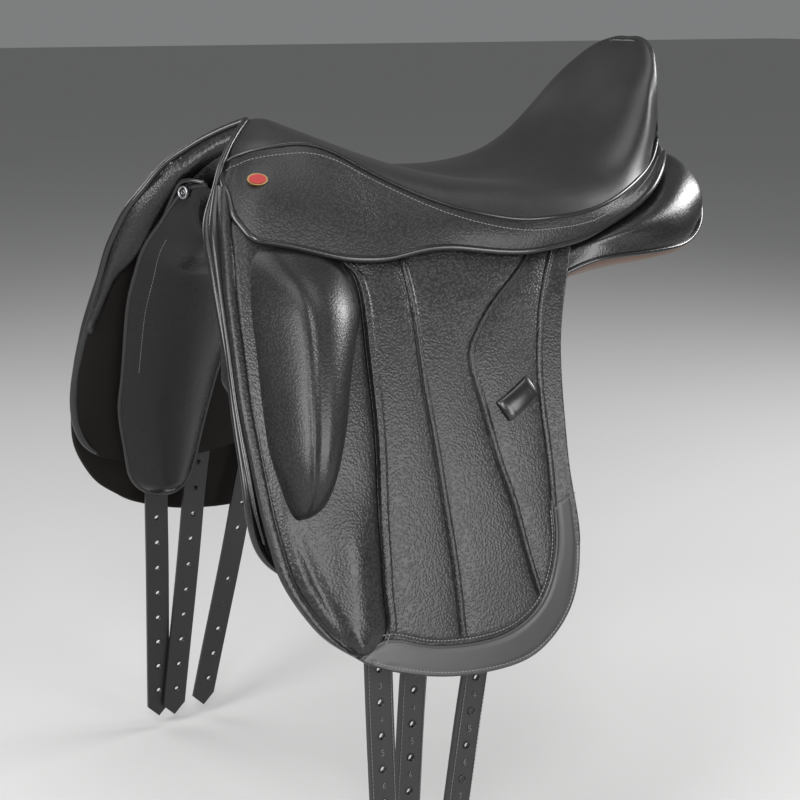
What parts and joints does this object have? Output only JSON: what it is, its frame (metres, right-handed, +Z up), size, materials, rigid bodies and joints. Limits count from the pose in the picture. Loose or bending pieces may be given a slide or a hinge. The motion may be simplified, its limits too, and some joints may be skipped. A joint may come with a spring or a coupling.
{
  "type": "english saddle",
  "caption": "Black dressage saddle with deep seat, long padded flaps, knee blocks, lifting skirts, stirrup bars and girth straps.",
  "frame": {"origin": "on the symmetry plane under the lowest point of the seat, level with the middle of the panels' bearing face, where the saddle rests on a horse's back or a rack", "axes": "+X to the horse's left, +Y to the rear (cantle), +Z up"},
  "size_m": [0.5048, 0.5135, 0.693],
  "materials": {
    "calf": "smooth black calf, satin",
    "pebble": "black pebble-grain leather, satin",
    "block_leather": "soft black calf over foam, semi-gloss",
    "strap_leather": "black bridle leather, waxed",
    "panel_leather": "soft black panel leather",
    "lining_leather": "thin dark brown lining leather",
    "foam": "dense seat foam on stretched cloth",
    "flocking": "white wool flocking",
    "webbing": "woven webbing",
    "beech_ply": "laminated beech, lacquered",
    "spring_steel": "blued spring steel",
    "steel": "forged steel, polished",
    "brass": "polished brass",
    "red_enamel": "plain red enamel, gloss"
  },
  "bodies": {
    "saddle": {"badge_enamel_left": "red_enamel", "badge_enamel_right": "red_enamel", "badge_rim_left": "brass", "badge_rim_right": "brass", "bar_rivets_left": "steel", "bar_rivets_right": "steel", "cantle_facing": "calf", "catch_pin_left": "steel", "catch_pin_right": "steel", "channel_lining": "lining_leather", "cross_webbing": "webbing", "flap_root_left": "pebble", "flap_root_right": "pebble", "girth_web_left": "webbing", "girth_web_right": "webbing", "gullet_plate": "spring_steel", "panel_cover_left": "panel_leather", "panel_cover_right": "panel_leather", "panel_flocking_left": "flocking", "panel_flocking_right": "flocking", "panel_piping_left": "calf", "panel_piping_right": "calf", "panel_stud_left": "steel", "panel_stud_right": "steel", "panel_tongue_left": "panel_leather", "panel_tongue_right": "panel_leather", "pommel_facing": "calf", "seat_cover": "calf", "seat_foam": "foam", "seat_webbing": "webbing", "seat_welt_left": "calf", "seat_welt_right": "calf", "skirt_root_left": "pebble", "skirt_root_right": "pebble", "stirrup_bar_left": "steel", "stirrup_bar_right": "steel", "sweat_flap_left": "calf", "sweat_flap_right": "calf", "tree_cantle": "beech_ply", "tree_head": "beech_ply", "tree_rail_left": "spring_steel", "tree_rail_right": "spring_steel"},
    "left_flap": {"flap_left": "pebble", "flap_patch_left": "calf", "knee_block_left": "block_leather", "keeper_left": "calf"},
    "left_skirt": {"skirt_left": "pebble"},
    "left_bar_catch": {"bar_catch_left": "steel"},
    "left_front_strap": {"front_strap_left": "strap_leather"},
    "left_middle_strap": {"middle_strap_left": "strap_leather"},
    "left_rear_strap": {"rear_strap_left": "strap_leather"},
    "right_flap": {"flap_right": "pebble", "flap_patch_right": "calf", "knee_block_right": "block_leather", "keeper_right": "calf"},
    "right_skirt": {"skirt_right": "pebble"},
    "right_bar_catch": {"bar_catch_right": "steel"},
    "right_front_strap": {"front_strap_right": "strap_leather"},
    "right_middle_strap": {"middle_strap_right": "strap_leather"},
    "right_rear_strap": {"rear_strap_right": "strap_leather"}
  },
  "joints": [
    {"name": "left_flap_lift", "type": "hinge", "parent": "saddle", "child": "left_flap", "pos_m": [0.13553, -0.0625, 0.028], "axis": [-0.1375, -0.9889, 0.0555], "range_deg": [0, 70]},
    {"name": "left_skirt_lift", "type": "hinge", "parent": "saddle", "child": "left_skirt", "pos_m": [0.118, -0.0865, 0.0595], "axis": [-0.2524, -0.9485, 0.1913], "range_deg": [0, 40]},
    {"name": "left_front_strap_swing", "type": "hinge", "parent": "saddle", "child": "left_front_strap", "pos_m": [0.112, -0.159, 0.03], "axis": [-0.8169, 0, -0.5767], "range_deg": [0, 4]},
    {"name": "left_middle_strap_swing", "type": "hinge", "parent": "saddle", "child": "left_middle_strap", "pos_m": [0.11196, -0.092, 0.03], "axis": [-0.8169, 0, -0.5767], "range_deg": [0, 4]},
    {"name": "left_rear_strap_swing", "type": "hinge", "parent": "saddle", "child": "left_rear_strap", "pos_m": [0.1275, -0.004, 0.03], "axis": [-0.8169, 0, -0.5767], "range_deg": [-5, 0]},
    {"name": "left_bar_catch_turn", "type": "hinge", "parent": "saddle", "child": "left_bar_catch", "pos_m": [0.093, -0.065, 0.068], "axis": [1, 0, 0], "range_deg": [0, 45]},
    {"name": "right_flap_lift", "type": "hinge", "parent": "saddle", "child": "right_flap", "pos_m": [-0.13553, -0.0625, 0.028], "axis": [-0.1375, 0.9889, -0.0555], "range_deg": [0, 70]},
    {"name": "right_skirt_lift", "type": "hinge", "parent": "saddle", "child": "right_skirt", "pos_m": [-0.118, -0.0865, 0.0595], "axis": [-0.2524, 0.9485, -0.1913], "range_deg": [0, 40]},
    {"name": "right_front_strap_swing", "type": "hinge", "parent": "saddle", "child": "right_front_strap", "pos_m": [-0.112, -0.159, 0.03], "axis": [-0.8169, 0, 0.5767], "range_deg": [0, 4]},
    {"name": "right_middle_strap_swing", "type": "hinge", "parent": "saddle", "child": "right_middle_strap", "pos_m": [-0.11196, -0.092, 0.03], "axis": [-0.8169, 0, 0.5767], "range_deg": [0, 4]},
    {"name": "right_rear_strap_swing", "type": "hinge", "parent": "saddle", "child": "right_rear_strap", "pos_m": [-0.1275, -0.004, 0.03], "axis": [-0.8169, 0, 0.5767], "range_deg": [-5, 0]},
    {"name": "right_bar_catch_turn", "type": "hinge", "parent": "saddle", "child": "right_bar_catch", "pos_m": [-0.093, -0.065, 0.068], "axis": [1, 0, 0], "range_deg": [0, 45]}
  ]
}
